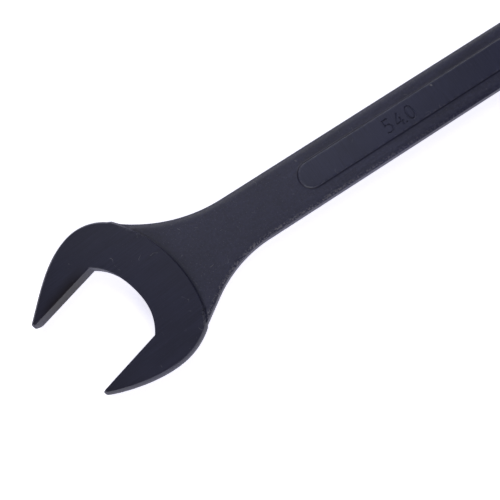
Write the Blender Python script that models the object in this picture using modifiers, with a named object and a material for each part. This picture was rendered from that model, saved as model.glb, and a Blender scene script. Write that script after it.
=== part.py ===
"""A large fixed combination wrench: an open end, a plain shank and a 12-point box end.

The real wrench is one steel forging. It is modelled here as its sections, which meet face to face.
Everything is in metres. The wrench lies flat on z = 0, with +X from the open end to the box end, and
the origin is the middle of its box on that surface.
"""

import math

import bmesh
import bpy
import numpy as np
from mathutils import Matrix, Vector

# The nut that the wrench fits, and the whole tool.
ACROSS_FLATS = 0.0542
OPEN_TO_BOX = 0.556
SEAM = 0.0003

# Open end, in its own axes: u runs from the mouth to the back, v across the jaws.
JAW_ANGLE = math.radians(15)
HEAD_THICKNESS = 0.018
HEAD_SHOULDER = Vector((-0.007, 0.0147))
HEAD_SHOULDER_RADIUS = 0.0336
HEAD_SHOULDER_START = math.radians(116)
HEAD_SHOULDER_END = math.radians(46)
HEAD_BACK = 0.0267
HEAD_BACK_RADIUS = 0.080
HEAD_BACK_HALF = 0.0365
HEAD_TIP = Vector((-0.0534, 0.0286))
HEAD_SIDE_BULGE = 0.0008
RIM_ROUND = 0.0019
THROAT_RADIUS = 0.040
THROAT_DEPTH = -0.0004
JAW_ROOT = -0.0110

# Shank and its raised panels.
SHANK_WIDTH = 0.0353
SHANK_THICKNESS = 0.0115
SHANK_ROUND = 0.0030
PANEL_WIDTH = 0.0168
PANEL_RAISE = 0.0011
PANEL_START = 0.1156
PANEL_END = 0.4200

# Neck of the open end: two concave sides that run out into the shank.
NECK_THICKNESS = 0.0150
NECK_TOP_RADIUS = 0.0944
NECK_TOP_END = 0.0700
NECK_TOP_START = 0.0100
NECK_LOW_RADIUS = 0.0800
NECK_LOW_END = 0.0820
NECK_LOW_STRAIGHT = 0.0380
NECK_LOW_START = 0.0170
SHANK_START = 0.0850

# Box end.
BOX_TILT = math.radians(15)
RING_RADIUS = 0.041
RING_THICKNESS = 0.026
RING_ROUND = 0.004
RING_BLANK_HOLE = 0.020
RING_NECK_WIDTH = 0.052
RING_NECK_THICKNESS = 0.019
SHANK_END = 0.4500
BEND_RADIUS = 0.080
NECK_INTO_RING = 0.030

# Place of the wrench's own origin (where the jaw line crosses the shank line) in the row's frame.
MIDDLE = Vector((-0.2687, 0, HEAD_THICKNESS / 2))
# Height of the ring's centre over the shank's middle, so that its low edge reaches the surface too.
RING_RISE = (
    (RING_RADIUS - RING_ROUND) * math.sin(BOX_TILT)
    + (RING_THICKNESS / 2 - RING_ROUND) * math.cos(BOX_TILT)
    + RING_ROUND
    - HEAD_THICKNESS / 2
)

# How finely the curves are divided.
ARC_STEP = math.radians(7.5)
NECK_STATIONS = 17
RING_STEPS = 60


def clear_scene():
    for item in list(bpy.data.objects):
        bpy.data.objects.remove(item, do_unlink=True)
    for group in list(bpy.data.collections):
        bpy.data.collections.remove(group)


def new_collection(name, hidden=False):
    group = bpy.data.collections.new(name)
    bpy.context.scene.collection.children.link(group)
    group.hide_render = hidden
    return group


def steel(name, colour, roughness):
    material = bpy.data.materials.new(name)
    material.use_nodes = True
    shader = material.node_tree.nodes["Principled BSDF"]
    shader.inputs["Base Color"].default_value = (*colour, 1)
    shader.inputs["Metallic"].default_value = 0.85
    shader.inputs["Roughness"].default_value = roughness
    return material


def add_object(name, mesh, group, material=None):
    item = bpy.data.objects.new(name, mesh)
    group.objects.link(item)
    if material:
        mesh.materials.append(material)
    return item


def make_cutter(item):
    item.hide_render = True
    item.display_type = "WIRE"
    return item


def arc(centre, radius, start, end):
    """Points of an arc from one angle to another, both in radians."""
    count = max(2, math.ceil(abs(end - start) / ARC_STEP) + 1)
    return [centre + radius * Vector((math.cos(a), math.sin(a))) for a in np.linspace(start, end, count)]


def bulged(start, end, rise, count=5):
    """Points of the shallow arc from start to end that stands off its chord by rise, to the left."""
    chord = end - start
    side = Vector((-chord.y, chord.x)).normalized()
    shares = np.linspace(0, 1, count)
    return [start + chord * s + side * rise * 4 * s * (1 - s) for s in shares]


def mesh_of_outline(name, points, half_height, edge_round, group):
    """A flat outline with its thickness: a filled 2D curve, made into a closed mesh."""
    curve = bpy.data.curves.new(name, "CURVE")
    curve.dimensions = "2D"
    curve.fill_mode = "BOTH"
    curve.extrude = half_height - edge_round
    curve.bevel_depth = edge_round
    curve.bevel_resolution = 1
    spline = curve.splines.new("POLY")
    spline.points.add(len(points) - 1)
    for knot, point in zip(spline.points, points):
        knot.co = (point.x, point.y, 0, 1)
    spline.use_cyclic_u = True
    guide = bpy.data.objects.new(name, curve)
    group.objects.link(guide)
    bpy.context.view_layer.update()
    graph = bpy.context.evaluated_depsgraph_get()
    mesh = bpy.data.meshes.new_from_object(guide.evaluated_get(graph))
    bpy.data.objects.remove(guide)
    shape = bmesh.new()
    shape.from_mesh(mesh)
    bmesh.ops.remove_doubles(shape, verts=shape.verts, dist=0.000001)
    bmesh.ops.recalc_face_normals(shape, faces=shape.faces)
    shape.to_mesh(mesh)
    shape.free()
    mesh.name = name
    return mesh


def head_outline():
    """The open end's outline at its flat faces, before the mouth is cut. Its sides run from blunt tips
    to two shoulders, which a flatter back joins."""
    shoulder = arc(HEAD_SHOULDER, HEAD_SHOULDER_RADIUS, HEAD_SHOULDER_START, HEAD_SHOULDER_END)
    back_centre = Vector((HEAD_BACK - HEAD_BACK_RADIUS, 0))
    back_angle = math.asin(HEAD_BACK_HALF / HEAD_BACK_RADIUS)
    upper = bulged(HEAD_TIP, shoulder[0], HEAD_SIDE_BULGE)[:-1]
    upper += shoulder
    upper += arc(back_centre, HEAD_BACK_RADIUS, back_angle, 0)
    lower = [Vector((p.x, -p.y)) for p in reversed(upper[:-1])]
    return list(reversed(upper + lower))


def mouth_outline():
    """The gap that takes the nut: two parallel jaw faces and a throat that is an arc."""
    half = ACROSS_FLATS / 2
    centre = Vector((THROAT_DEPTH - THROAT_RADIUS, 0))
    swing = math.asin(half / THROAT_RADIUS)
    throat = arc(centre, THROAT_RADIUS, -swing, swing)
    beyond_tips = 1.5 * HEAD_TIP.x
    return [Vector((beyond_tips, -half))] + throat + [Vector((beyond_tips, half))]


def slab(name, low, high, group):
    """A box between two corners, which takes away the head on one side of a split line."""
    shape = bmesh.new()
    bmesh.ops.create_cube(shape, size=1)
    size = [b - a for a, b in zip(low, high)]
    middle = Vector([(a + b) / 2 for a, b in zip(low, high)])
    shape.transform(Matrix.Translation(middle) @ Matrix.Diagonal((*size, 1)))
    mesh = bpy.data.meshes.new(name)
    shape.to_mesh(mesh)
    shape.free()
    return make_cutter(add_object(name, mesh, group))


def cut(item, cutter):
    step = item.modifiers.new("Cut by " + cutter.name, "BOOLEAN")
    step.operation = "DIFFERENCE"
    step.object = cutter
    step.solver = "EXACT"


def section(half_width, half_height, edge_round, corner_points=4):
    """A rounded rectangle across the wrench, as points (sideways, upward)."""
    across = half_width - edge_round
    upward = half_height - edge_round
    points = []
    for quarter, (side, rise) in enumerate(((1, 1), (-1, 1), (-1, -1), (1, -1))):
        for turn in np.linspace(0, math.pi / 2, corner_points):
            angle = quarter * math.pi / 2 + turn
            corner = Vector((side * across, rise * upward))
            points.append(corner + edge_round * Vector((math.cos(angle), math.sin(angle))))
    return points


def loft(name, stations, group, material):
    """A closed solid through stations of (centre, side vector, up vector, section)."""
    shape = bmesh.new()
    rings = []
    for centre, side, up, outline in stations:
        rings.append([shape.verts.new(centre + side * a + up * b) for a, b in outline])
    for near, far in zip(rings, rings[1:]):
        for i in range(len(near)):
            j = (i + 1) % len(near)
            shape.faces.new((near[i], near[j], far[j], far[i]))
    shape.faces.new(list(reversed(rings[0])))
    shape.faces.new(rings[-1])
    bmesh.ops.recalc_face_normals(shape, faces=shape.faces)
    mesh = bpy.data.meshes.new(name)
    shape.to_mesh(mesh)
    shape.free()
    return add_object(name, mesh, group, material)


def neck_edges(share):
    """The upper and lower edge points of the open end's neck, from share 0 at the head to 1."""
    half = SHANK_WIDTH / 2
    top_x = NECK_TOP_START + share * (SHANK_START - NECK_TOP_START)
    low_x = NECK_LOW_START + share * (SHANK_START - NECK_LOW_START)
    run = max(0.0, NECK_TOP_END - top_x)
    top = half + NECK_TOP_RADIUS - math.sqrt(NECK_TOP_RADIUS**2 - run**2)
    run = max(0.0, NECK_LOW_END - max(low_x, NECK_LOW_STRAIGHT))
    low = half + NECK_LOW_RADIUS - math.sqrt(NECK_LOW_RADIUS**2 - run**2)
    slope = run / math.sqrt(NECK_LOW_RADIUS**2 - run**2)
    low += slope * max(0.0, NECK_LOW_STRAIGHT - low_x)
    return Vector((top_x, top, 0)), Vector((low_x, -low, 0))


def open_end_neck(group, material):
    stations = []
    for share in np.linspace(0, 1, NECK_STATIONS):
        top, low = neck_edges(share)
        width = (top - low).length
        fall = (1 - share) ** 1.5
        height = SHANK_THICKNESS + (NECK_THICKNESS - SHANK_THICKNESS) * fall
        outline = section(width / 2, height / 2, SHANK_ROUND)
        stations.append(((top + low) / 2, (top - low).normalized(), Vector((0, 0, 1)), outline))
    return loft("open_end_neck", stations, group, material)


def open_end_head(parts, cutters, material):
    """The three sections of the open end, cut from one blank by the mouth and by the split lines."""
    blank = mesh_of_outline("head_blank", head_outline(), HEAD_THICKNESS / 2, RIM_ROUND, cutters)
    mouth_mesh = mesh_of_outline("mouth", mouth_outline(), HEAD_THICKNESS, 0, cutters)
    mouth = make_cutter(add_object("mouth", mouth_mesh, cutters))
    reach = 0.12
    tall = HEAD_THICKNESS
    front = JAW_ROOT - SEAM / 2
    back = JAW_ROOT + SEAM / 2
    before_root = slab("before_root", (-reach, -reach, -tall), (back, reach, tall), cutters)
    behind_root = slab("behind_root", (front, -reach, -tall), (reach, reach, tall), cutters)
    above = slab("above_jaw_line", (-reach, 0, -tall), (reach, reach, tall), cutters)
    below = slab("below_jaw_line", (-reach, -reach, -tall), (reach, 0, tall), cutters)
    made = []
    for name, removed in (
        ("open_end_upper_jaw", (mouth, behind_root, below)),
        ("open_end_lower_jaw", (mouth, behind_root, above)),
        ("open_end_throat", (mouth, before_root)),
    ):
        item = add_object(name, blank.copy(), parts, material)
        for cutter in removed:
            cut(item, cutter)
        made.append(item)
    return made, [mouth, before_root, behind_root, above, below]


def head_clearance(cutters):
    """The head's blank grown by the seam, which trims the neck where it meets the head."""
    half_height = HEAD_THICKNESS / 2 + SEAM
    mesh = mesh_of_outline("head_clearance", head_outline(), half_height, RIM_ROUND + SEAM, cutters)
    return make_cutter(add_object("head_clearance", mesh, cutters))


def shank(group, material):
    outline = section(SHANK_WIDTH / 2, SHANK_THICKNESS / 2, SHANK_ROUND)
    side = Vector((0, 1, 0))
    up = Vector((0, 0, 1))
    ends = (SHANK_START + SEAM, SHANK_END)
    return loft("shank", [(Vector((x, 0, 0)), side, up, outline) for x in ends], group, material)


def size_panel(name, facing, group, material, cutters):
    """A raised round-ended panel on one face of the shank."""
    radius = PANEL_WIDTH / 2
    far = arc(Vector((PANEL_END - radius, 0)), radius, -math.pi / 2, math.pi / 2)
    near = arc(Vector((PANEL_START + radius, 0)), radius, math.pi / 2, 3 * math.pi / 2)
    mesh = mesh_of_outline(name, far + near, (PANEL_RAISE - SEAM) / 2, 0, cutters)
    height = SHANK_THICKNESS / 2 + (PANEL_RAISE + SEAM) / 2
    item = add_object(name, mesh, group, material)
    item.location.z = facing * height
    return item


def ring_centre():
    return Vector((OPEN_TO_BOX, 0, RING_RISE))


def ring_profile(inner, grow=0.0):
    """The ring's section, from its inner top edge round the outside to its inner low edge."""
    half = RING_THICKNESS / 2 + grow
    level = RING_THICKNESS / 2 - RING_ROUND
    corner = RING_RADIUS - RING_ROUND
    upper = arc(Vector((corner, level)), RING_ROUND + grow, math.pi / 2, 0)
    lower = arc(Vector((corner, -level)), RING_ROUND + grow, 0, -math.pi / 2)
    return [Vector((inner, half))] + upper + lower + [Vector((inner, -half))]


def turned_ring(name, profile, group, material=None):
    shape = bmesh.new()
    knots = [shape.verts.new((p.x, 0, p.y)) for p in profile]
    for i in range(len(knots)):
        shape.edges.new((knots[i], knots[(i + 1) % len(knots)]))
    mesh = bpy.data.meshes.new(name)
    shape.to_mesh(mesh)
    shape.free()
    item = add_object(name, mesh, group, material)
    spin = item.modifiers.new("Turn", "SCREW")
    spin.steps = RING_STEPS
    spin.render_steps = RING_STEPS
    spin.use_merge_vertices = True
    spin.merge_threshold = 0.00001
    return item


def twelve_points():
    """Outline of the 12-point hole: two hexagons across the same flats, 30 degrees apart."""
    corner = ACROSS_FLATS / 2 / math.cos(math.radians(30))
    valley = ACROSS_FLATS / 2 / math.cos(math.radians(15))
    points = []
    for i in range(24):
        radius = (corner, valley)[i % 2]
        angle = math.radians(15 * i)
        points.append(radius * Vector((math.cos(angle), math.sin(angle))))
    return points


def bend_path(along):
    """Centre and upward direction of the box neck, at a distance along it from the shank's end."""
    turn_length = BEND_RADIUS * BOX_TILT
    tangent = BEND_RADIUS * math.tan(BOX_TILT / 2)
    corner = OPEN_TO_BOX - RING_RISE / math.tan(BOX_TILT)
    straight = corner - tangent - SHANK_END
    if along < straight:
        return Vector((SHANK_END + along, 0, 0)), Vector((0, 0, 1))
    angle = min((along - straight) / BEND_RADIUS, BOX_TILT)
    centre = Vector((corner - tangent, 0, BEND_RADIUS))
    place = centre + BEND_RADIUS * Vector((math.sin(angle), 0, -math.cos(angle)))
    beyond = max(0.0, along - straight - turn_length)
    forward = Vector((math.cos(angle), 0, math.sin(angle)))
    return place + forward * beyond, Vector((-math.sin(angle), 0, math.cos(angle)))


def box_end_neck(group, material):
    """The neck that widens, thickens and bends from the shank into the ring."""
    length = OPEN_TO_BOX - SHANK_END - NECK_INTO_RING
    stations = []
    for share in np.linspace(0, 1, NECK_STATIONS):
        along = max(SEAM, share * length)
        centre, up = bend_path(along)
        swell = share**2.5
        width = SHANK_WIDTH + (RING_NECK_WIDTH - SHANK_WIDTH) * swell
        height = SHANK_THICKNESS + (RING_NECK_THICKNESS - SHANK_THICKNESS) * share**2
        outline = section(width / 2, height / 2, SHANK_ROUND)
        stations.append((centre, Vector((0, 1, 0)), up, outline))
    return loft("box_end_neck", stations, group, material)


def box_end(parts, cutters, material):
    tilt = Matrix.Translation(ring_centre()) @ Matrix.Rotation(-BOX_TILT, 4, "Y")
    ring = turned_ring("box_end_ring", ring_profile(RING_BLANK_HOLE), parts, material)
    hole_mesh = mesh_of_outline("twelve_point_hole", twelve_points(), RING_THICKNESS, 0, cutters)
    hole = make_cutter(add_object("twelve_point_hole", hole_mesh, cutters))
    cut(ring, hole)
    neck = box_end_neck(parts, material)
    trim = make_cutter(turned_ring("ring_clearance", ring_profile(0.0, SEAM), cutters))
    cut(neck, trim)
    for item in (ring, hole, trim):
        item.matrix_world = tilt
    return [ring, neck], [hole, trim]


def shade(item):
    item.data.shade_smooth()
    item.data.set_sharp_from_angle(angle=math.radians(30))


def main():
    clear_scene()
    parts = new_collection("combination_wrench")
    cutters = new_collection("cutters", hidden=True)
    forged = steel("forged_black", (0.045, 0.045, 0.058), 0.48)
    ground = steel("ground_black", (0.036, 0.036, 0.048), 0.40)

    place = bpy.data.objects.new("wrench_place", None)
    parts.objects.link(place)
    place.location = MIDDLE
    jaw_axes = bpy.data.objects.new("jaw_axes", None)
    parts.objects.link(jaw_axes)
    jaw_axes.parent = place
    jaw_axes.rotation_euler.z = JAW_ANGLE

    head, head_cutters = open_end_head(parts, cutters, ground)
    clearance = head_clearance(cutters)
    for item in head + head_cutters + [clearance]:
        item.parent = jaw_axes

    neck = open_end_neck(parts, forged)
    cut(neck, clearance)
    bar = shank(parts, forged)
    front = size_panel("size_panel_front", 1, parts, ground, cutters)
    back = size_panel("size_panel_back", -1, parts, ground, cutters)
    ends, end_cutters = box_end(parts, cutters, forged)
    for item in [neck, bar, front, back] + ends + end_cutters:
        item.parent = place

    for item in parts.objects:
        if item.type == "MESH":
            shade(item)


main()
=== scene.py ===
"""Looks of a large black combination wrench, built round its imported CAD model.

The steel is one continuous forged surface: a plan outline with a height at each point. It is cut along
the CAD model's section lines into the named pieces, which meet with no gap. Shapes are in millimetres
in the wrench's own axes: +X along the shank, the jaw line crossing it at the origin, z = 0 at
mid-thickness.
"""

import math

import bmesh
import bpy
import numpy as np
from mathutils import Euler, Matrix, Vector
from mathutils.geometry import delaunay_2d_cdt
from mathutils.kdtree import KDTree


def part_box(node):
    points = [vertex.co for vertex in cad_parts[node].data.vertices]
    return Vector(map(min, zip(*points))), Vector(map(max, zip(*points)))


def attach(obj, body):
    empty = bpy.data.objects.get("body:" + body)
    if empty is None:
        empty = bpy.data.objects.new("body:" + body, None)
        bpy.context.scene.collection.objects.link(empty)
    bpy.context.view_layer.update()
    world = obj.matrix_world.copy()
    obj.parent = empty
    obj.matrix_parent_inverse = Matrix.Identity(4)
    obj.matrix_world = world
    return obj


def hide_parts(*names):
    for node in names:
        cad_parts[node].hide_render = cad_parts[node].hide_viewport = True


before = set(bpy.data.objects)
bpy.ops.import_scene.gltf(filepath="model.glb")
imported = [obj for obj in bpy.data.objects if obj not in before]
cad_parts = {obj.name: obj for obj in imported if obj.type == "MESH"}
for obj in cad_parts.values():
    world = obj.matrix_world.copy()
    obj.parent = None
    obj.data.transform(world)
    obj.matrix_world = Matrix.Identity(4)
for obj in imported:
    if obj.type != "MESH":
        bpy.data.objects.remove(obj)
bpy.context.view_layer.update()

MM = 0.001
SHARP_ANGLE = math.radians(32)

# Open end, in jaw axes turned by JAW_ANGLE: u from the mouth to the back, v across the jaws. Each side
# of its outline is a shoulder arc, a curve with a handle at each end, and a round tip. The throat is at
# THROAT_BACK on its middle line and bows forward with the square and the fourth power.
JAW_ANGLE = math.radians(15)
JAW_HALF_GAP = 27.0
HEAD_HALF = 9.0
UPPER_SHOULDER = (-4.9, 21.2)
UPPER_SHOULDER_RADIUS = 28.7
UPPER_SHOULDER_START = math.radians(38)
UPPER_HANDLES = (17.3, 22.1)
UPPER_TIP_TURN = math.radians(30)
LOWER_SHOULDER = (-6.6, 6.3)
LOWER_SHOULDER_RADIUS = 43.9
LOWER_SHOULDER_START = math.radians(66)
LOWER_HANDLES = (21.6, 2.8)
LOWER_TIP_TURN = math.radians(48.5)
BACK_REACH = 26.7
BACK_RADIUS = 80.0
BACK_HALF = 36.5
TIP = (-53.4, 28.6)
RIM = 1.9
JAW_RIM = 2.3
JAW_RIM_START = 7.0
JAW_RIM_RUN = 15.0
RIM_CURVE = 0.4
THROAT_BACK = -0.45
THROAT_MIDDLE = 1.4
THROAT_CURVE = (0.00805, 7.5e-6)
THROAT_POINTS = 46
JAW_SPLIT = -12.2
JAW_CUT = (26.0, 55.0)
MOUTH_CHAMFER = 0.35
PARTING_LAND = 0.25

# Shank, its neck towards the open end, and its raised panels. The shank's faces curve down to a crisp
# edge, and its sides lean in from the parting line by SIDE_DRAFT. The neck starts at a different place
# on each side of the head.
SHANK_HALF = 18.05
SHANK_HALF_THICK = 5.75
EDGE_ARC = 5.6
EDGE_TURN = math.radians(36)
SIDE_DRAFT = 0.9
DRAFT_CURVE = 0.7
NECK_END = 85.0
NECK_RISE = 1.75
NECK_RISE_CURVE = 1.5
NECK_TOP_RADIUS = 94.4
NECK_TOP_END = 70.0
NECK_LOW_RADIUS = 80.0
NECK_LOW_END = 82.0
NECK_LOW_STRAIGHT = 38.0
NECK_START = 13.0
NECK_TOP_FROM = 5.0
NECK_LOW_FROM = 15.0
STEP_FILLET = 0.3
SIDE_FALL = 6.0
PANEL_HALF = 7.75
PANEL_MIDDLE = 0.45
PANEL_RAISE = 1.1
PANEL_START = 115.6
PANEL_END = 420.0
PANEL_ARC_STEP = 0.8
PANEL_LINE_STEP = 3.0

# The panel's side from its foot to its flat face. Each row is how far outside the face's edge it is, its
# height, how worn it is and how much painted shade darkens it, as shade in the crease at its foot.
PANEL_PROFILE = (
    (1.45, 0.0, 0.0, 0.0),
    (1.15, 0.04, 0.0, 0.2),
    (0.88, 0.14, 0.0, 0.6),
    (0.64, 0.34, 0.1, 0.6),
    (0.40, 0.64, 0.4, 0.15),
    (0.18, 0.95, 0.9, 0.0),
    (0.0, 1.07, 1.0, 0.0),
    (-0.25, PANEL_RAISE, 0.5, 0.0),
    (-0.80, PANEL_RAISE, 0.0, 0.0),
)

# Size mark, which stands for 54.0 mm. Places are in steps of MARK_PITCH, for each character in turn, and
# the pitch and the last width are shares of MARK_HEIGHT.
MARK_MIDDLE = 186.5
MARK_HEIGHT = 8.6
MARK_PITCH = 0.86
MARK_GROOVE = 0.7
MARK_DEPTH = 0.62
MARK_PLACES = (0.0, 1.0, 1.85, 2.2)
MARK_LAST_WIDTH = 0.56
MARK_WELD = 0.01

# Box end, measured along its own centre line, which bends up by BOX_TILT.
SHANK_END = 450.0
BOX_TILT = math.radians(15)
OPEN_TO_BOX = 556.0
RING_RISE = 13.27
BEND_RADIUS = 80.0
RING_RADIUS = 41.0
RING_HALF_THICK = 13.0
RING_ROUND = 4.0
RING_FILLET = 3.0
BOX_NECK_HALF = 26.0
BOX_NECK_LENGTH = 76.0
BOX_NECK_HALF_THICK = 9.5
BOX_NECK_CURVE = 2.5
NECK_FLARE = 7.0
FLARE_END = 12.0
FLARE_RUN = 20.0
FLARE_LEAST = 0.0001
OUTLINE_END = 18.0
OUTLINE_REACH = 60.0
OUTLINE_GAP = 0.03
HOLE_CHAMFER = 0.9

# How finely the surface is divided. Each set of rows is distances from an outline, to its left.
EDGE_STEP = 1.5
TIP_STEP = 0.45
GRID_STEP = 2.4
GRID_ASPECT = 0.866
CUT_STEP = 0.5
CUT_HALF = 20.0
BEZIER_POINTS = 40
ROWS = (0.05, 0.15, 0.3, 0.5, 0.7, 0.9, 1.05, 1.2, 1.45, 1.75, 1.95, 2.35, 2.9, 3.6, 4.4, 5.4, 6.4)
BORDER_ROWS = (-0.3, -0.8, -1.6)
MOUTH_ROWS = (MOUTH_CHAMFER, 1.0)
HOLE_ROWS = (-HOLE_CHAMFER, -1.6)
RING_ROWS = (-3.0, -2.0, -1.0, 0.6, 1.3, 2.1, 3.0, 4.0)
RING_CUT_DEPTH = 0.02
RING_CUT_OVERRUN = np.array((2.0, 3.0))
CLOSEST = 0.11
GRID_CLOSEST = 0.6 * GRID_STEP
WALL_CLEARANCE = 0.6 * ROWS[0]
REPEATED = 0.05
TIP_MARGIN = 0.2
SLOPE_STEP = 0.01
BOX_HALVINGS = 40
CORNER_HALVINGS = 30
SMALLEST_AREA = 1e-7
MERGE_WITHIN = 0.0005

# Painted shade on the jaws' faces, beside the upper jaw's wrenching face and towards both tips. It starts
# and fades at distances forward of the jaws' origin.
JAW_SHADE = 6.5
JAW_SHADE_START = 8.0
JAW_SHADE_RUN = 14.0
JAW_SHADE_FADE = 38.0
JAW_SHADE_FALL = 22.0
TIP_SHADE = 0.4
TIP_SHADE_START = 24.0
TIP_SHADE_RUN = 28.0
MACHINED_WITHIN = 0.2
DEEPEST_MARK = 20.0

# Colours of the steel, and where its lines run. Streaks and the trim line are placed along the shank, in
# metres.
BARE_STEEL = (0.34, 0.33, 0.36)
GROUND_BLACK = (0.0127, 0.0136, 0.0390)
PANEL_BLACK = (0.0220, 0.0240, 0.0585)
# SHADED_BLACK is the colour of painted shade on the jaws and the panel's foot, not of the steel.
SHADED_BLACK = (0.011, 0.009, 0.013)
FORGED_BLACK = (0.0245, 0.0255, 0.058)
HEAD_LINES = math.radians(4)
HEAD_LINE_DEPTH = 0.00004
PANEL_LINES = math.radians(90)
PANEL_LINE_DEPTH = 0.00007
STREAKS_START = -0.18
STREAKS_END = -0.12
TRIM_LINE_START = -0.16
TRIM_LINE_END = -0.02

# Patterns in the steel. A noise has a scale per metre, layers of detail and a roughness.
GRIND = {"scale": 60, "detail": 4, "roughness": 0.6, "stretch": (0.7, 26, 1)}
GROUND_CLOUD = {"scale": 28, "detail": 3, "roughness": 0.55}
GROUND_SKIN = {"scale": 900, "detail": 3, "roughness": 0.6}
WORN_PATCH = {"scale": 420, "detail": 4, "roughness": 0.65}
WALL_MOTTLE = {"scale": 520, "detail": 4, "roughness": 0.7}
GRAIN = {"scale": 700, "detail": 4, "roughness": 0.65}
FORGED_CLOUD = {"scale": 24, "detail": 4, "roughness": 0.55}
ROLLED = {"scale": 40, "detail": 4, "roughness": 0.6, "stretch": (0.8, 12, 1)}
CRUMBS = {"scale": 850, "detail": 3, "roughness": 0.75}
TORN = {"scale": 420, "detail": 3, "roughness": 0.7}
SPECK = {"scale": 1500, "detail": 1}
HEAD_SCRATCH = {"scale": 130, "width": 0.008, "seed": 3.1}
FORGED_SCRATCH = {"scale": 120, "width": 0.008, "seed": 1.3}
SCRATCH_DRIFT = 0.37
SCRATCH_PATCH = 1.3

# The values of a pattern between which its effect sets in. Where there are four, the last two are what
# it gives at the first two.
FLAT_RANGE = (0.90, 0.99)
SIDE_RANGE = (0.0, 0.5, 1.0, 0.0)
LINE_RANGE = (0.2, 0.8)
SCRATCH_RANGE = (0.60, 0.64)
GROUND_SPECK_RANGE = (0.72, 0.80)
WORN_RANGE = (0.42, 0.62, 0.15, 1.0)
MOTTLE_RANGE = (0.35, 0.65, 0.45, 0.95)
FORGED_SPECK_RANGE = (0.65, 0.75)
CRUMB_RANGE = (0.46, 0.60)
TRIM_OUTER_RANGE = (0.9, 1.4)
TRIM_INNER_RANGE = (2.1, 4.0, 1.0, 0.0)
STREAK_SPREAD = 0.2
CLOUD_SPREAD = 0.2
FINE_SPREAD = 0.25

# How far each pattern lightens or darkens the oxide, and how much bare steel shows through in each.
GROUND_CLOUDS = 0.10
GRIND_CONTRAST = 0.20
FORGED_CLOUDS = 0.12
ROLL_CONTRAST = 0.14
GRAIN_CONTRAST = 0.20
GROUND_SCRATCHES = 0.35
EDGE_WEAR = 0.13
GROUND_SPECKS = 0.10
TRIM_WEAR = 0.36
TRIM_WEAR_ABOVE = 0.08
TRIM_WEAR_FAR = 0.12
FORGED_SCRATCHES = 0.30
FORGED_SPECKS = 0.13

# Depth of each bump in metres, and its strength. Then roughness, and gloss from plain oxide to its
# places of painted shade and its dull machined wall.
GROUND_SKIN_BUMP = (0.00002, 0.5)
GRAIN_BUMP = (0.00018, 0.8)
STREAK_BUMP = (0.00010, 0.5)
TORN_BUMP = (0.0004, 0.6)
FACE_ROUGHNESS = (0.40, 0.48)
SIDE_ROUGHNESS = 0.58
FORGED_ROUGHNESS = (0.46, 0.58)
GLOSS = (0.5, 0.22)

# Camera, floor and lights. A light's direction is its angle round from +X and its angle above the floor.
CAMERA_AT = Vector((-0.24185, -0.05562, 0.41432))
CAMERA_TURN = (7.655, -1.929, -33.25)
CAMERA_LENS = 49.76
CAMERA_SHIFT = (-0.0003, 0.0019)
CAMERA_SEES = (0.01, 50)
SENSOR = 36.0
FLOOR_SIZE = 8.0
FLOOR_DROP = 0.0002
FLOOR_PAINT = (0.87, 0.865, 0.95)
FLOOR_ROUGHNESS = 0.9
FLOOR_GLOW = (0.91, 0.90, 1.0)
FLOOR_GLOW_STRENGTH = 0.8
ROOM_LIGHT = (0.01, 0.01, 0.012)
WHITE = (1.0, 1.0, 1.0)
SOFTBOX_SIZE = 0.6
LIGHT_DISTANCE = 1.5
LIGHTS_ABOUT = Vector((-0.15, 0, 0))
LIGHTS = (
    ("overhead_light", 60, 65, 2.9),
    ("upper_light", 90, 40, 8.4),
    ("right_rim_light", 45, 15, 4.9),
    ("left_rim_light", 225, 15, 15.0),
    ("low_fill_light", 240, 65, 1.6),
)

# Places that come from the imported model.
HALF_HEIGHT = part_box("open_end_throat")[1].z / 2
ORIGIN = Vector((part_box("size_panel_front")[0].x - PANEL_START * MM, 0, HALF_HEIGHT))


# ---------------------------------------------------------------- outlines


def arc(centre, radius, start, end, step=EDGE_STEP):
    count = max(2, math.ceil(abs(end - start) * radius / step) + 1)
    turn = np.linspace(start, end, count)
    return np.stack([centre[0] + radius * np.cos(turn), centre[1] + radius * np.sin(turn)], 1)


def line(start, end, step=EDGE_STEP):
    start, end = np.array(start, float), np.array(end, float)
    count = max(2, math.ceil(np.linalg.norm(end - start) / step) + 1)
    return start + (end - start) * np.linspace(0, 1, count)[:, None]


def joined(*runs):
    """One polyline from several, without the points that repeat."""
    points = np.concatenate(runs)
    gap = np.linalg.norm(np.diff(points, axis=0), axis=1)
    return points[np.concatenate([[True], gap > REPEATED])]


def flipped(points):
    """The mirror image across the shank line, in the opposite order."""
    return (points * (1, -1))[::-1]


def turned(points, angle=JAW_ANGLE):
    """Points in jaw axes, put in the wrench's axes. The opposite angle goes the other way."""
    c, s = math.cos(angle), math.sin(angle)
    return points @ np.array([[c, s], [-s, c]])


def bezier(start, start_handle, end_handle, end):
    """A cubic curve between two points, pulled towards two handles."""
    share = np.linspace(0, 1, BEZIER_POINTS)[:, None]
    rest = 1 - share
    knots = [np.array(knot, float) for knot in (start, start_handle, end_handle, end)]
    weights = (rest**3, 3 * share * rest**2, 3 * share**2 * rest, share**3)
    return sum(weight * knot for weight, knot in zip(weights, knots))


def head_side(shoulder_at, shoulder_radius, shoulder_start, handles, tip_turn):
    """One side of the open end at mid-thickness, from the middle of its back to the front of its tip."""
    swing = math.asin(BACK_HALF / BACK_RADIUS)
    back = arc((BACK_REACH - BACK_RADIUS, 0), BACK_RADIUS + RIM, 0, swing)
    shoulder = arc(shoulder_at, shoulder_radius, shoulder_start, math.pi / 2)
    tip = arc(TIP, RIM, math.pi / 2 + tip_turn, math.pi, TIP_STEP)
    top = shoulder[-1]
    end_handle = tip[0] + handles[1] * np.array((math.cos(tip_turn), math.sin(tip_turn)))
    side = bezier(top, top - (handles[0], 0), end_handle, tip[0])
    return joined(back, shoulder, side, tip)


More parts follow.
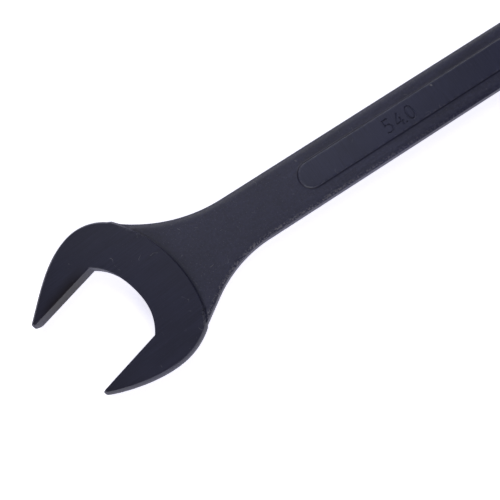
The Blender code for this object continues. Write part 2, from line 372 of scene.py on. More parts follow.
def head_rim():
    """The open end's closed outline at mid-thickness, counterclockwise, without the mouth."""
    upper = head_side(
        UPPER_SHOULDER, UPPER_SHOULDER_RADIUS, UPPER_SHOULDER_START, UPPER_HANDLES, UPPER_TIP_TURN
    )
    lower = flipped(head_side(
        LOWER_SHOULDER, LOWER_SHOULDER_RADIUS, LOWER_SHOULDER_START, LOWER_HANDLES, LOWER_TIP_TURN
    ))
    front = line(upper[-1], lower[0])
    return turned(joined(lower, upper, front)[:-1])


def mouth_edge():
    """The two jaw faces and the throat between them, from the upper tip to the lower one."""
    v = np.linspace(JAW_HALF_GAP, -JAW_HALF_GAP, THROAT_POINTS)
    w = v - THROAT_MIDDLE
    throat = np.stack([THROAT_BACK - THROAT_CURVE[0] * w**2 - THROAT_CURVE[1] * w**4, v], 1)
    tip = TIP[0] - RIM
    upper = line((tip, JAW_HALF_GAP), throat[0])
    lower = line(throat[-1], (tip, -JAW_HALF_GAP))
    return turned(joined(upper, throat, lower))


def neck_top(x):
    """How far above the centre line the neck's upper edge is: an arc that runs into the shank."""
    run = np.maximum(0, NECK_TOP_END - x)
    return SHANK_HALF + NECK_TOP_RADIUS - np.sqrt(np.maximum(0, NECK_TOP_RADIUS**2 - run**2))


def neck_low(x):
    """Where the neck's lower edge is, less than 0: an arc, and straight on nearer the head."""
    run = np.maximum(0, NECK_LOW_END - np.maximum(x, NECK_LOW_STRAIGHT))
    drop = np.sqrt(NECK_LOW_RADIUS**2 - run**2)
    return -(SHANK_HALF + NECK_LOW_RADIUS - drop + run / drop * np.maximum(0, NECK_LOW_STRAIGHT - x))


def bend_lengths():
    """Where the bend of the box end starts, where it ends, and where the ring's centre is."""
    corner = OPEN_TO_BOX - RING_RISE / math.tan(BOX_TILT)
    tangent = BEND_RADIUS * math.tan(BOX_TILT / 2)
    start = corner - tangent
    end = start + BEND_RADIUS * BOX_TILT
    return start, end, end + RING_RISE / math.sin(BOX_TILT) - tangent


BEND_START, BEND_END, RING_AT = bend_lengths()


def smooth_max(a, b, reach):
    """The larger of two values, rounded where they come within a reach of each other."""
    share = np.clip(0.5 + 0.5 * (a - b) / reach, 0, 1)
    return b + (a - b) * share + reach * share * (1 - share)


def ramp(value, start, run):
    """0 up to a start, then rising evenly to 1 over a run."""
    return np.clip((value - start) / run, 0, 1)


def box_share(x):
    """How far along the box end's neck a place is, from 0 to 1."""
    return ramp(x, SHANK_END, BOX_NECK_LENGTH)


def box_depth(x, y):
    """How far inside the box end's outline a point is."""
    neck = SHANK_HALF + (BOX_NECK_HALF - SHANK_HALF) * box_share(x) ** BOX_NECK_CURVE - np.abs(y)
    neck = np.where(x > RING_AT, neck - (x - RING_AT), neck)
    ring = RING_RADIUS - np.hypot(x - RING_AT, y)
    flare = NECK_FLARE * np.clip((RING_AT - FLARE_END - x) / FLARE_RUN, FLARE_LEAST, 1)
    return smooth_max(neck, ring, flare)


def body_depth(x, y):
    """How far inside the outline of the neck, shank or box end a point is. Less than 0 is outside."""
    top = neck_top(np.minimum(x, NECK_END))
    low = neck_low(np.minimum(x, NECK_END))
    ahead = np.minimum(x + SLOPE_STEP, NECK_END)
    top_slope = (neck_top(ahead) - top) / SLOPE_STEP
    low_slope = (neck_low(ahead) - low) / SLOPE_STEP
    plain = np.minimum((top - y) / np.hypot(1, top_slope), (y - low) / np.hypot(1, low_slope))
    return np.where(x < SHANK_END, plain, box_depth(x, y))


def box_edge():
    """The box end's outline from the lower side of the shank round the ring to the upper side."""
    x = np.arange(SHANK_END, RING_AT - OUTLINE_END, EDGE_STEP)
    inner, outer = np.zeros_like(x), np.full_like(x, OUTLINE_REACH)
    for _ in range(BOX_HALVINGS):
        middle = (inner + outer) / 2
        within = box_depth(x, middle) > 0
        inner, outer = np.where(within, middle, inner), np.where(within, outer, middle)
    lower = np.stack([x, -inner], 1)
    turn = math.atan2(lower[-1][1], lower[-1][0] - RING_AT)
    ring = arc((RING_AT, 0), RING_RADIUS, turn + OUTLINE_GAP, -turn - OUTLINE_GAP)
    return joined(lower, ring, flipped(lower))


def body_edge(low_x, top_x):
    """The outline from the neck's lower corner at the open end, round the box end, to its upper one."""
    low = np.arange(low_x, SHANK_END, EDGE_STEP)
    top = np.arange(top_x, SHANK_END, EDGE_STEP)
    lower = np.stack([low, neck_low(np.minimum(low, NECK_END))], 1)
    upper = np.stack([top, neck_top(np.minimum(top, NECK_END))], 1)
    return joined(lower, box_edge(), upper[::-1])


def twelve_points():
    """The box end's hole: two hexagons across the same flats, 30 degrees apart."""
    corner = JAW_HALF_GAP / math.cos(math.radians(30))
    valley = JAW_HALF_GAP / math.cos(math.radians(15))
    knot = np.arange(25)
    angles = np.radians(15 * knot)
    radii = np.where(knot % 2, valley, corner)
    knots = np.stack([RING_AT + radii * np.cos(angles), radii * np.sin(angles)], 1)
    return joined(*[line(a, b) for a, b in zip(knots, knots[1:])])[:-1]


# ---------------------------------------------------------------- heights


def segment_distance(points, polyline):
    """The distance from each point to the nearest segment of a polyline."""
    nearest = np.full(len(points), np.inf)
    for a, b in zip(polyline, polyline[1:]):
        run = b - a
        share = np.clip((points - a) @ run / (run @ run), 0, 1)
        nearest = np.minimum(nearest, np.linalg.norm(points - a - share[:, None] * run, axis=1))
    return nearest


def closed(points):
    return np.concatenate([points, points[:1]])


def inside(points, loop):
    """Whether each point lies inside a loop, by the sides that a line from it crosses."""
    found = np.zeros(len(points), bool)
    for a, b in zip(loop, np.roll(loop, -1, axis=0)):
        crosses = (a[1] > points[:, 1]) != (b[1] > points[:, 1])
        rise = b[1] - a[1]
        x = a[0] + (points[:, 1] - a[1]) * (b[0] - a[0]) / (rise if rise else 1)
        found ^= crosses & (points[:, 0] < x)
    return found


def rounded(depth, top, radius):
    """The height of a flat face whose edge is rounded, at a depth inside that edge."""
    inner = np.clip(radius - depth, 0, radius)
    return top - radius + np.sqrt(radius**2 - inner**2) + SIDE_FALL * np.minimum(depth, 0)


def forged_edge(depth, top):
    """The height of a face that curves down to a crisp edge, with a drafted side below it."""
    reach = EDGE_ARC * math.sin(EDGE_TURN)
    inner = np.clip(reach + SIDE_DRAFT - depth, 0, reach)
    height = top - EDGE_ARC + np.sqrt(EDGE_ARC**2 - inner**2)
    share = np.clip(depth / SIDE_DRAFT, 0, 1) ** DRAFT_CURVE
    return height * share + SIDE_FALL * np.minimum(depth, 0)


def head_height(points, rim):
    """The flat ground face and its rim, which falls away to the parting line."""
    depth = segment_distance(points, closed(rim))
    depth = np.where(inside(points, rim), depth, 0)
    u = turned(points, -JAW_ANGLE)[:, 0]
    width = RIM + (JAW_RIM - RIM) * ramp(-u, JAW_RIM_START, JAW_RIM_RUN)
    return HEAD_HALF * np.clip(depth / width, 0, 1) ** RIM_CURVE


def body_height(points):
    """The height of the neck, shank and box end above mid-thickness."""
    x, y = points.T
    depth = body_depth(x, y)
    rise = np.clip((NECK_END - x) / (NECK_END - NECK_START), 0, 1) ** NECK_RISE_CURVE
    middle = SHANK_HALF_THICK + NECK_RISE * rise
    middle = middle + (BOX_NECK_HALF_THICK - SHANK_HALF_THICK) * box_share(x) ** 2
    plain = forged_edge(depth, middle)
    ring = rounded(RING_RADIUS - np.hypot(x - RING_AT, y), RING_HALF_THICK, RING_ROUND)
    return np.where(x < SHANK_END, plain, smooth_max(plain, ring, RING_FILLET))


def surface_height(points, rim, mouth, hole):
    """The height of the whole wrench above mid-thickness, with its chamfers."""
    head = head_height(points, rim)
    body_from = np.where(points[:, 1] > 0, NECK_TOP_FROM, NECK_LOW_FROM)
    body = np.where(points[:, 0] > body_from, body_height(points), 0)
    height = smooth_max(head, body, STEP_FILLET)
    height = np.minimum(height, np.where(points[:, 0] < NECK_END, HEAD_HALF, np.inf))
    height -= np.clip(MOUTH_CHAMFER - segment_distance(points, mouth), 0, None)
    height -= np.clip(HOLE_CHAMFER - segment_distance(points, closed(hole)), 0, None)
    return np.maximum(height, PARTING_LAND)


# ---------------------------------------------------------------- mesh


def offset(points, distance, loop=True):
    """The same points moved sideways, to the left of the way they run."""
    ahead = np.roll(points, -1, axis=0)
    behind = np.roll(points, 1, axis=0)
    if not loop:
        ahead[-1], behind[0] = points[-1], points[0]
    run = ahead - behind
    side = np.stack([-run[:, 1], run[:, 0]], 1) / np.linalg.norm(run, axis=1)[:, None]
    return points + side * distance


def junctions(rim):
    """The rim turned to start at the neck, how many of its points lie in the neck, and its two corners."""
    beside_neck = rim[:, 0] > np.where(rim[:, 1] > 0, NECK_TOP_FROM, NECK_LOW_FROM)
    within = (body_depth(*rim.T) > 0) & beside_neck
    first = np.flatnonzero(within & ~np.roll(within, 1))[0]
    rim = np.roll(rim, -first, axis=0)
    count = int(np.flatnonzero(~np.roll(within, -first))[0])
    ends = []
    for a, b in ((rim[-1], rim[0]), (rim[count], rim[count - 1])):
        for _ in range(CORNER_HALVINGS):
            middle = (a + b) / 2
            if body_depth(*middle) > 0:
                b = middle
            else:
                a = middle
        ends.append(b)
    return rim, count, ends


def jaw_cuts():
    """The lines that part the jaws from the throat, finely stepped so that they cross the rim cleanly."""
    near, far = JAW_CUT
    return [turned(line((JAW_SPLIT, side * near), (JAW_SPLIT, side * far), CLOSEST)) for side in (1, -1)]


def ring_cut():
    """The line that parts the ring from the box end's neck, run on past the outline at both ends."""
    cut = arc((RING_AT, 0), RING_RADIUS, math.pi / 2, 3 * math.pi / 2)
    cut = cut[box_depth(*cut.T) > RING_CUT_DEPTH]
    return np.concatenate([cut[:1] + RING_CUT_OVERRUN, cut, cut[-1:] + RING_CUT_OVERRUN * (1, -1)])


def outer_loop(body, outside, mouth):
    """The whole outline, counterclockwise. outside is the stretch of the head's rim that shows."""
    place = np.arange(len(outside))
    upper_end = np.linalg.norm(outside - mouth[0], axis=1).argmin()
    lower_start = np.linalg.norm(outside - mouth[-1], axis=1).argmin()
    v = turned(outside, -JAW_ANGLE)[:, 1]
    upper = outside[(place <= upper_end) & (v > JAW_HALF_GAP + TIP_MARGIN)]
    lower = outside[(place >= lower_start) & (v < -JAW_HALF_GAP - TIP_MARGIN)]
    return joined(body, upper, mouth, lower)


def even_grid(loop):
    """Staggered rows of points over the whole outline's box."""
    low, high = loop.min(0), loop.max(0)
    across = np.arange(low[0], high[0], GRID_STEP)
    along = np.arange(low[1], high[1], GRID_STEP * GRID_ASPECT)
    return np.array([(x + GRID_STEP / 2 * (j % 2), y) for j, y in enumerate(along) for x in across])


def add_spaced(kept, extra, closest):
    """Adds the extra points that are further than closest from every point kept so far."""
    tree = KDTree(len(kept))
    for i, p in enumerate(kept):
        tree.insert((p[0], p[1], 0), i)
    tree.balance()
    kept += [p for p in extra if tree.find((p[0], p[1], 0))[2] > closest]


def plan():
    """Triangles of the whole wrench seen from above: points, triangles, and the outlines that shape it."""
    rim, count, corners = junctions(head_rim())
    mouth = mouth_edge()
    hole = twelve_points()
    ring_line = ring_cut()
    body = body_edge(corners[0][0], corners[1][0])
    body[0], body[-1] = corners
    border = np.concatenate([corners[:1], rim[:count], corners[1:]])
    loop = outer_loop(body, rim[count:], mouth)

    rows = []
    for outline, distances, is_loop in (
        (rim, ROWS, True),
        (body, ROWS, False),
        (border, BORDER_ROWS, False),
        (mouth, MOUTH_ROWS, False),
        (hole, HOLE_ROWS, True),
        (ring_line, RING_ROWS, False),
    ):
        rows += [offset(outline, d, is_loop) for d in distances]
    walls = [closed(loop), closed(hole), border, *jaw_cuts()]
    kept = list(np.concatenate([loop, hole, border[1:-1]]))
    for extra, closest in [(row, CLOSEST) for row in rows] + [(even_grid(loop), GRID_CLOSEST)]:
        extra = extra[inside(extra, loop) & ~inside(extra, hole)]
        for wall in walls:
            extra = extra[segment_distance(extra, wall) > WALL_CLEARANCE]
        add_spaced(kept, extra, closest)

    # The outlines and the cuts are edges that the triangles have to keep.
    edges = []
    start = 0
    for run in (loop, hole):
        edges += [(start + i, start + (i + 1) % len(run)) for i in range(len(run))]
        start += len(run)
    ids = [0, *range(start, start + len(border) - 2), len(body) - 1]
    edges += list(zip(ids, ids[1:]))
    straight = [line((x, -CUT_HALF), (x, CUT_HALF), CUT_STEP) for x in (NECK_END, SHANK_END)]
    for cut in (*straight, *jaw_cuts(), ring_line):
        edges += [(len(kept) + i, len(kept) + i + 1) for i in range(len(cut) - 1)]
        kept += list(cut)
    made = delaunay_2d_cdt([Vector(p) for p in kept], edges, [], 0, MERGE_WITHIN)
    points = np.array([tuple(p) for p in made[0]])
    triangles = np.array([tuple(t) for t in made[2]])
    middles = points[triangles].mean(1)
    triangles = triangles[inside(middles, loop) & ~inside(middles, hole)]
    return points, triangles, rim, mouth, hole


def sections(points, triangles, rim):
    """The name of the section that each triangle belongs to."""
    middle = points[triangles].mean(1)
    u, v = turned(middle, -JAW_ANGLE).T
    head = inside(middle, rim) & (middle[:, 0] < NECK_END)
    names = np.full(len(middle), "open_end_neck", object)
    names[middle[:, 0] > NECK_END] = "shank"
    names[middle[:, 0] > SHANK_END] = "box_end_neck"
    in_ring = np.hypot(middle[:, 0] - RING_AT, middle[:, 1]) < RING_RADIUS
    names[in_ring | (middle[:, 0] > RING_AT)] = "box_end_ring"
    names[head] = "open_end_throat"
    names[head & (u < JAW_SPLIT) & (v > 0)] = "open_end_upper_jaw"
    names[head & (u < JAW_SPLIT) & (v < 0)] = "open_end_lower_jaw"
    return names


def bent(points):
    """Points of the straightened wrench, put where the bend of the box end takes them."""
    x, y, z = points.T
    turn = np.clip((x - BEND_START) / BEND_RADIUS, 0, BOX_TILT)
    past = np.maximum(0, x - BEND_END)
    centre_x = np.minimum(x, BEND_START) + BEND_RADIUS * np.sin(turn) + past * math.cos(BOX_TILT)
    centre_z = BEND_RADIUS * (1 - np.cos(turn)) + past * math.sin(BOX_TILT)
    return np.stack([centre_x - z * np.sin(turn), y, centre_z + z * np.cos(turn)], 1)


def placed(points):
    """Points in millimetres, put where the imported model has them, in metres."""
    return points * MM + np.array(ORIGIN)


def add_mesh(name, points, faces, material, marks=None):
    """A mesh from points in millimetres. Each mark is a number at each point, which its material reads."""
    mesh = bpy.data.meshes.new(name)
    mesh.from_pydata(placed(points).tolist(), [], faces)
    for mark, values in (marks or {}).items():
        mesh.attributes.new(mark, "FLOAT", "POINT").data.foreach_set("value", values.astype(np.float32))
    mesh.materials.append(material)
    mesh.shade_smooth()
    mesh.set_sharp_from_angle(angle=SHARP_ANGLE)
    item = bpy.data.objects.new(name, mesh)
    bpy.context.scene.collection.objects.link(item)
    return item


def solid(points, height, triangles):
    """A closed solid: the triangles at their height, the same below, and a wall round their border."""
    used, index = np.unique(triangles, return_inverse=True)
    index = index.reshape(-1, 3)
    upper = np.column_stack([points[used], height[used]])
    lower = upper * (1, 1, -1)
    count = len(used)
    sides = np.concatenate([index[:, [0, 1]], index[:, [1, 2]], index[:, [2, 0]]])
    known = {(a, b) for a, b in sides.tolist()}
    border = sorted((a, b) for a, b in known if (b, a) not in known)
    faces = index.tolist() + (index[:, ::-1] + count).tolist()
    faces += [(b, a, a + count, b + count) for a, b in border]
    return np.concatenate([upper, lower]), faces


def counterclockwise(points, triangles):
    """The triangles all turned the same way, without those that have no area."""
    a, b, c = (points[triangles[:, i]] for i in range(3))
    area = (b - a)[:, 0] * (c - a)[:, 1] - (b - a)[:, 1] * (c - a)[:, 0]
    real = np.abs(area) > SMALLEST_AREA
    return np.where(area[real, None] < 0, triangles[real, ::-1], triangles[real])


def head_marks(points, mouth):
    """How much painted shade each point of the head gets, and whether it is on the mouth's machined wall.
    """
    u, v = turned(points, -JAW_ANGLE).T
    from_mouth = segment_distance(points, mouth)
    # Painted shade: the jaws' faces are darkened towards the upper jaw's wrenching face and towards both
    # tips.
    along_jaw = ramp(-u, JAW_SHADE_START, JAW_SHADE_RUN) * (1 - ramp(-u, JAW_SHADE_FADE, JAW_SHADE_FALL))
    edge_shade = along_jaw * np.clip(1 - from_mouth / JAW_SHADE, 0, 1) * (v > 0)
    tip_shade = TIP_SHADE * ramp(-u, TIP_SHADE_START, TIP_SHADE_RUN)
    machined = (from_mouth < MACHINED_WITHIN) * 1.0
    return {"painted_shade": np.maximum(edge_shade, tip_shade), "machined": machined}


def forging(materials):
    """The seven pieces of the one continuous surface."""
    points, triangles, rim, mouth, hole = plan()
    triangles = counterclockwise(points, triangles)
    height = surface_height(points, rim, mouth, hole)
    names = sections(points, triangles, rim)
    for name, material, slot in (
        ("open_end_upper_jaw", "ground", "ground_steel"),
        ("open_end_lower_jaw", "ground", "ground_steel"),
        ("open_end_throat", "ground", "ground_steel"),
        ("open_end_neck", "forged", "forged_steel"),
        ("shank", "forged", "forged_steel"),
        ("box_end_neck", "forged", "forged_steel"),
        ("box_end_ring", "forged", "forged_steel"),
    ):
        shape, faces = solid(points, height, triangles[names == name])
        depth = np.clip(body_depth(*shape[:, :2].T), 0, DEEPEST_MARK)
        marks = {"edge_depth": depth, "low_side": (shape[:, 1] < 0) * 1.0}
        marks |= head_marks(shape[:, :2], mouth)
        item = add_mesh("visual_" + name, bent(shape), faces, materials[material], marks)
        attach(item, "root")
        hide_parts(name)


def obround(half, start, end):
    """A straight bar's outline with two round ends."""
    far = arc((end - half, 0), half, -math.pi / 2, math.pi / 2, PANEL_ARC_STEP)
    near = arc((start + half, 0), half, math.pi / 2, 3 * math.pi / 2, PANEL_ARC_STEP)
    low = line(near[-1], far[0], PANEL_LINE_STEP)
    top = line(far[-1], near[0], PANEL_LINE_STEP)
    return joined(low, far, top, near)[:-1]


def groove_cutter(name, path):
    """A round rod along one stroke of a digit, which leaves a groove where it is taken away."""
    curve = bpy.data.curves.new(name, "CURVE")
    curve.dimensions = "3D"
    curve.bevel_depth = MARK_GROOVE * MM
    curve.bevel_resolution = 3
    curve.use_fill_caps = True
    spline = curve.splines.new("POLY")
    spline.points.add(len(path) - 1)
    top = SHANK_HALF_THICK + PANEL_RAISE + MARK_GROOVE - MARK_DEPTH
    for knot, (x, y) in zip(spline.points, path):
        knot.co = (*placed(np.array([[x, y, top]]))[0], 1)
    guide = bpy.data.objects.new(name, curve)
    bpy.context.scene.collection.objects.link(guide)
    bpy.context.view_layer.update()
    graph = bpy.context.evaluated_depsgraph_get()
    mesh = bpy.data.meshes.new_from_object(guide.evaluated_get(graph))
    bpy.data.objects.remove(guide)
    shape = bmesh.new()
    shape.from_mesh(mesh)
    bmesh.ops.remove_doubles(shape, verts=shape.verts, dist=MARK_WELD * MM)
    bmesh.ops.recalc_face_normals(shape, faces=shape.faces)
    shape.to_mesh(mesh)
    shape.free()
    cutter = bpy.data.objects.new(name, mesh)
    bpy.context.scene.collection.objects.link(cutter)
    return cutter


def digit_strokes():
    """The strokes of the size, 54.0, one list for each character, of unit height with its foot at 0."""
    bowl = arc((0.27, 0.30), 0.30, math.radians(118), math.radians(-140), 0.08)
    five = [np.array([(0.52, 1.0), (0.10, 1.0), (0.07, 0.56), *bowl])]
    four = [np.array([(0.44, 1.0), (0.02, 0.28), (0.64, 0.28)]), np.array([(0.47, 0.62), (0.47, 0.0)])]
    dot = [np.array([(0.04, 0.0), (0.04, 0.08)])]
    half_ring = arc((0, 0), 1.0, math.radians(-97), math.radians(97), 0.3) * (0.27, 0.5)
    zero = [half_ring + (0.29, 0.5), half_ring * (-1, 1) + (0.29, 0.5)]
    return five, four, dot, zero


def engrave(item):
    """Cuts the size into the front panel, reading towards the box end."""
    left = MARK_MIDDLE - MARK_HEIGHT * (MARK_PLACES[-1] * MARK_PITCH + MARK_LAST_WIDTH) / 2
    for place, strokes in zip(MARK_PLACES, digit_strokes()):
        for stroke in strokes:
            path = stroke * MARK_HEIGHT + (left + place * MARK_PITCH * MARK_HEIGHT, -MARK_HEIGHT / 2)
            cutter = groove_cutter("groove", path)
            step = item.modifiers.new("engraving", "BOOLEAN")
            step.operation = "DIFFERENCE"
            step.solver = "EXACT"
            step.use_self = True
            step.object = cutter
            bpy.context.view_layer.update()
            graph = bpy.context.evaluated_depsgraph_get()
            mesh = bpy.data.meshes.new_from_object(item.evaluated_get(graph))
            item.modifiers.clear()
            item.data = mesh
            bpy.data.objects.remove(cutter)
    item.data.set_sharp_from_angle(angle=SHARP_ANGLE)


def panel(name, facing, material):
    """A raised round-ended panel: a stack of shrinking outlines, closed by flat faces."""
    outline = obround(PANEL_HALF, PANEL_START, PANEL_END)
    count = len(outline)
    levels = len(PANEL_PROFILE)
    rings = []
    for outwards, rise, _, _ in PANEL_PROFILE:
        height = np.full(count, SHANK_HALF_THICK + rise)
        rings.append(np.column_stack([offset(outline, -outwards), height]))
    points = np.concatenate(rings) + (0, PANEL_MIDDLE, 0)
    faces = []
    for start in range(0, (levels - 1) * count, count):
        for i in range(count):
            j = (i + 1) % count
            faces.append((start + i, start + j, start + j + count, start + i + count))
    faces.append(tuple(range((levels - 1) * count, levels * count)))
    faces.append(tuple(reversed(range(count))))
    if facing < 0:
        points = points * (1, -1, -1)
    worn = np.repeat([wear for _, _, wear, _ in PANEL_PROFILE], count)
    # Painted shade in the crease at the panel's foot.
    foot = np.repeat([painted_shade for _, _, _, painted_shade in PANEL_PROFILE], count)
    item = add_mesh("visual_" + name, points, faces, material, {"worn_edge": worn, "painted_shade": foot})
    if facing > 0:
        engrave(item)
    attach(item, "root")
    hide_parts(name)


# ---------------------------------------------------------------- materials


def node(tree, kind, inputs=None, **settings):
    """A new node. An input that is a socket is linked, and any other value is set."""
    made = tree.nodes.new("ShaderNode" + kind)
    for key, value in settings.items():
        setattr(made, key, value)
    for key, value in (inputs or {}).items():
        if isinstance(value, bpy.types.NodeSocket):
            tree.links.new(value, made.inputs[key])
        else:
            made.inputs[key].default_value = value
    return made


def mapped(tree, value, low, high, to_low=0.0, to_high=1.0):
    """A value between low and high, eased to lie between to_low and to_high."""
    made = node(tree, "MapRange", {"Value": value}, interpolation_type="SMOOTHSTEP")
    for key, number in (("From Min", low), ("From Max", high), ("To Min", to_low), ("To Max", to_high)):
        made.inputs[key].default_value = number
    return made.outputs["Result"]


def combined(tree, kind, a, b):
    """The result of one arithmetic step on two numbers or sockets."""
    return node(tree, "Math", {0: a, 1: b}, operation=kind).outputs[0]


def times(tree, a, b):
    return combined(tree, "MULTIPLY", a, b)


def larger(tree, a, b):
    return combined(tree, "MAXIMUM", a, b)


def varied(tree, pattern, spread, amount):
    """A factor about 1 that follows a pattern, up to 1 + amount where the pattern is 0.5 + spread."""
    return mapped(tree, pattern, 0.5 - spread, 0.5 + spread, 1 - amount, 1 + amount)


def scaled(tree, colour, amount):
    """A colour made lighter or darker by a factor."""
    return node(tree, "VectorMath", {0: colour, "Scale": amount}, operation="SCALE").outputs[0]


def mark(tree, name):
    """A number that the mesh carries at each of its points."""
    return node(tree, "Attribute", attribute_name=name).outputs["Fac"]


def mixed(tree, share, a, b):
    """Colour a where the share is 0, and b where it is 1."""
    made = node(tree, "Mix", {"Factor": share}, data_type="RGBA")
    for index, value in ((6, a), (7, b)):
        if isinstance(value, bpy.types.NodeSocket):
            tree.links.new(value, made.inputs[index])
        else:
            made.inputs[index].default_value = (*value, 1)
    return made.outputs[2]


def noise(tree, place, scale, detail=3.0, roughness=0.5, stretch=(1, 1, 1), turn=0.0):
    """Noise at a scale per metre. stretch makes it finer along an axis, and turn rotates those axes."""
    spread = node(tree, "Mapping", {"Vector": place}, vector_type="POINT")
    spread.inputs["Rotation"].default_value = (0, 0, -turn)
    wide = node(tree, "Mapping", {"Vector": spread.outputs[0]}, vector_type="POINT")
    wide.inputs["Scale"].default_value = stretch
    made = node(tree, "TexNoise", {"Vector": wide.outputs[0], "Scale": scale, "Detail": detail})
    made.inputs["Roughness"].default_value = roughness
    return made.outputs["Fac"]


def hairlines(tree, place, scale, width, seed):
    """A few thin curled lines, as light scratches leave: 1 on a line."""
    shift = node(tree, "Mapping", {"Vector": place})
    shift.inputs["Location"].default_value = (seed, SCRATCH_DRIFT * seed, 0)
    field = node(tree, "TexNoise", {"Vector": shift.outputs[0], "Scale": scale, "Detail": 1.0})
    level = combined(tree, "ABSOLUTE", combined(tree, "SUBTRACT", field.outputs["Fac"], 0.5), 0.0)
    thread = mapped(tree, level, 0.0, width, 1.0, 0.0)
    coarse = {"Vector": shift.outputs[0], "Scale": scale * SCRATCH_PATCH, "Detail": 2.0}
    patch = node(tree, "TexNoise", coarse).outputs["Color"]
    return times(tree, thread, mapped(tree, patch, *SCRATCH_RANGE))


def steel(name):
    """A new material with its shader and the object's own place as a socket."""
    material = bpy.data.materials.new(name)
    material.use_nodes = True
    tree = material.node_tree
    return material, tree, tree.nodes["Principled BSDF"], node(tree, "TexCoord").outputs["Object"]


def facing_up(tree):
    """1 on faces that lie flat, top or bottom, and 0 on the sides."""
    normal = node(tree, "NewGeometry").outputs["True Normal"]
    upward = node(tree, "SeparateXYZ", {0: normal}).outputs["Z"]
    return mapped(tree, combined(tree, "ABSOLUTE", upward, 0.0), *FLAT_RANGE)


def bumped(tree, shader, height, distance, strength=1.0, below=None):
    """Gives the shader a bump over the one below, and returns the two together."""
    made = node(tree, "Bump", {"Height": height, "Distance": distance, "Strength": strength})
    if below:
        tree.links.new(below, made.inputs["Normal"])
    tree.links.new(made.outputs[0], shader.inputs["Normal"])
    return made.outputs[0]


def ground_steel(name, line_turn, line_depth, colour):
    """Black-oxide steel, surface ground before blackening: fine straight lines on the flat faces."""
    material, tree, shader, place = steel(name)
    flat = facing_up(tree)
    lines = noise(tree, place, **GRIND, turn=line_turn)
    clouds = varied(tree, noise(tree, place, **GROUND_CLOUD), CLOUD_SPREAD, GROUND_CLOUDS)
    tone = times(tree, clouds, varied(tree, lines, FINE_SPREAD, GRIND_CONTRAST))
    oxide = scaled(tree, colour, tone)

    scratches = hairlines(tree, place, **HEAD_SCRATCH)
    specks = mapped(tree, noise(tree, place, **SPECK), *GROUND_SPECK_RANGE)
    patchy = mapped(tree, noise(tree, place, **WORN_PATCH), *WORN_RANGE)
    wear = times(tree, mark(tree, "worn_edge"), patchy)
    bare = larger(tree, times(tree, scratches, GROUND_SCRATCHES), times(tree, wear, EDGE_WEAR))
    bare = larger(tree, bare, times(tree, specks, GROUND_SPECKS))
    # Painted shade: where marked, the colour is mixed towards SHADED_BLACK.
    painted_shade = mark(tree, "painted_shade")
    colour_here = mixed(tree, painted_shade, mixed(tree, bare, oxide, BARE_STEEL), SHADED_BLACK)
    tree.links.new(colour_here, shader.inputs["Base Color"])

    on_face = mapped(tree, lines, *LINE_RANGE, *FACE_ROUGHNESS)
    rough = node(tree, "Mix", {0: flat, 2: SIDE_ROUGHNESS, 3: on_face}, data_type="FLOAT").outputs[0]
    tree.links.new(rough, shader.inputs["Roughness"])
    wall = times(tree, mark(tree, "machined"), mapped(tree, flat, *SIDE_RANGE))
    mottle = mapped(tree, noise(tree, place, **WALL_MOTTLE), *MOTTLE_RANGE)
    # Painted shade also dulls the gloss, as does the mottle on the machined wall.
    dulled = larger(tree, painted_shade, times(tree, wall, mottle))
    tree.links.new(mapped(tree, dulled, 0.0, 1.0, *GLOSS), shader.inputs["Specular IOR Level"])

    skin = bumped(tree, shader, noise(tree, place, **GROUND_SKIN), *GROUND_SKIN_BUMP)
    bumped(tree, shader, times(tree, lines, flat), line_depth, below=skin)
    return material


def trim_line(tree, along):
    """1 on the rough line that trimming leaves beside the shank's lower edge, fainter on its upper side."""
    depth = mark(tree, "edge_depth")
    inside_edge = mapped(tree, depth, *TRIM_OUTER_RANGE)
    beside_edge = times(tree, inside_edge, mapped(tree, depth, *TRIM_INNER_RANGE))
    fading = mapped(tree, along, TRIM_LINE_START, TRIM_LINE_END, 1.0, TRIM_WEAR_FAR)
    by_side = mapped(tree, mark(tree, "low_side"), 0.0, 1.0, TRIM_WEAR_ABOVE, 1.0)
    return times(tree, times(tree, beside_edge, fading), by_side)


def forged_steel(name, colour):
    """Black-oxide steel with its forged skin: grainy, streaked along the shank, rough where trimmed."""
    material, tree, shader, place = steel(name)
    along = node(tree, "SeparateXYZ", {0: place}).outputs["X"]
    grain = noise(tree, place, **GRAIN)
    clouds = varied(tree, noise(tree, place, **FORGED_CLOUD), CLOUD_SPREAD, FORGED_CLOUDS)
    on_shank = mapped(tree, along, STREAKS_START, STREAKS_END)
    streaks = times(tree, combined(tree, "SUBTRACT", noise(tree, place, **ROLLED), 0.5), on_shank)
    streaked = mapped(tree, streaks, -STREAK_SPREAD, STREAK_SPREAD, 1 - ROLL_CONTRAST, 1 + ROLL_CONTRAST)
    tone = times(tree, times(tree, clouds, streaked), varied(tree, grain, FINE_SPREAD, GRAIN_CONTRAST))
    oxide = scaled(tree, colour, tone)

    trim = trim_line(tree, along)
    crumbs = mapped(tree, noise(tree, place, **CRUMBS), *CRUMB_RANGE)
    scratches = hairlines(tree, place, **FORGED_SCRATCH)
    specks = mapped(tree, noise(tree, place, **SPECK), *FORGED_SPECK_RANGE)
    trimmed = times(tree, times(tree, trim, crumbs), TRIM_WEAR)
    bare = larger(tree, trimmed, times(tree, scratches, FORGED_SCRATCHES))
    bare = larger(tree, bare, times(tree, specks, FORGED_SPECKS))
    tree.links.new(mixed(tree, bare, oxide, BARE_STEEL), shader.inputs["Base Color"])
    tree.links.new(mapped(tree, grain, *LINE_RANGE, *FORGED_ROUGHNESS), shader.inputs["Roughness"])

    skin = bumped(tree, shader, grain, *GRAIN_BUMP)
    skin = bumped(tree, shader, streaks, *STREAK_BUMP, below=skin)
    bumped(tree, shader, times(tree, trim, noise(tree, place, **TORN)), *TORN_BUMP, below=skin)
    return material


# ---------------------------------------------------------------- studio


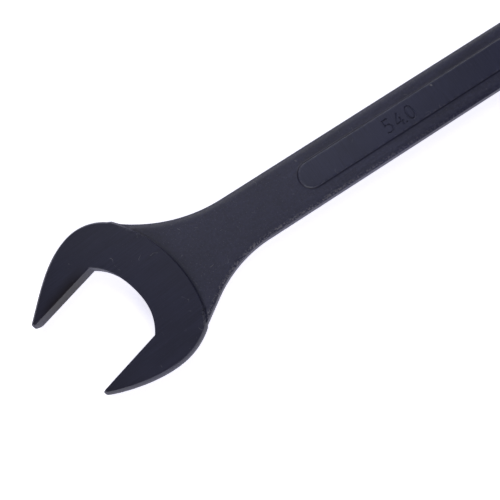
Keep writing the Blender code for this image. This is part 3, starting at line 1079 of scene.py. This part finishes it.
def add_camera():
    camera = bpy.data.cameras.new("camera")
    camera.lens = CAMERA_LENS
    camera.sensor_width = SENSOR
    camera.shift_x = CAMERA_SHIFT[0]
    camera.shift_y = CAMERA_SHIFT[1]
    camera.clip_start, camera.clip_end = CAMERA_SEES
    holder = bpy.data.objects.new("camera", camera)
    holder.location = CAMERA_AT
    holder.rotation_euler = Euler([math.radians(a) for a in CAMERA_TURN])
    bpy.context.scene.collection.objects.link(holder)
    bpy.context.scene.camera = holder


def add_floor():
    material = bpy.data.materials.new("white_floor")
    material.use_nodes = True
    shader = material.node_tree.nodes["Principled BSDF"]
    shader.inputs["Base Color"].default_value = (*FLOOR_PAINT, 1)
    shader.inputs["Roughness"].default_value = FLOOR_ROUGHNESS
    shader.inputs["Emission Color"].default_value = (*FLOOR_GLOW, 1)
    shader.inputs["Emission Strength"].default_value = FLOOR_GLOW_STRENGTH
    half = FLOOR_SIZE / 2
    mesh = bpy.data.meshes.new("floor")
    corners = [(-half, -half, 0), (half, -half, 0), (half, half, 0), (-half, half, 0)]
    mesh.from_pydata(corners, [], [(0, 1, 2, 3)])
    mesh.materials.append(material)
    floor = bpy.data.objects.new("floor", mesh)
    floor.location.z = -FLOOR_DROP
    bpy.context.scene.collection.objects.link(floor)


def add_world():
    """A dim, even studio behind the lights, whose walls look white to the camera."""
    world = bpy.data.worlds.new("studio")
    world.use_nodes = True
    bpy.context.scene.world = world
    tree = world.node_tree
    background = tree.nodes["Background"]
    seen = node(tree, "LightPath").outputs["Is Camera Ray"]
    tree.links.new(mixed(tree, seen, ROOM_LIGHT, WHITE), background.inputs["Color"])
    background.inputs["Strength"].default_value = 1.0


def add_softbox(name, azimuth, elevation, watts):
    """A square softbox that faces the middle of the picture."""
    lamp = bpy.data.lights.new(name, "AREA")
    lamp.shape = "SQUARE"
    lamp.size = SOFTBOX_SIZE
    lamp.energy = watts
    lamp.color = WHITE
    across, up = math.radians(azimuth), math.radians(elevation)
    away = Vector((math.cos(up) * math.cos(across), math.cos(up) * math.sin(across), math.sin(up)))
    holder = bpy.data.objects.new(name, lamp)
    holder.location = LIGHTS_ABOUT + away * LIGHT_DISTANCE
    holder.rotation_euler = (-away).to_track_quat("-Z", "Y").to_euler()
    bpy.context.scene.collection.objects.link(holder)


def main():
    forged = forged_steel("forged_black", FORGED_BLACK)
    head = ground_steel("ground_black", HEAD_LINES, HEAD_LINE_DEPTH, GROUND_BLACK)
    raised = ground_steel("panel_black", PANEL_LINES, PANEL_LINE_DEPTH, PANEL_BLACK)
    forging({"ground": head, "forged": forged})
    panel("size_panel_front", 1, raised)
    panel("size_panel_back", -1, raised)
    add_floor()
    add_world()
    for light in LIGHTS:
        add_softbox(*light)
    add_camera()
    bpy.context.scene.view_settings.view_transform = "Standard"


main()
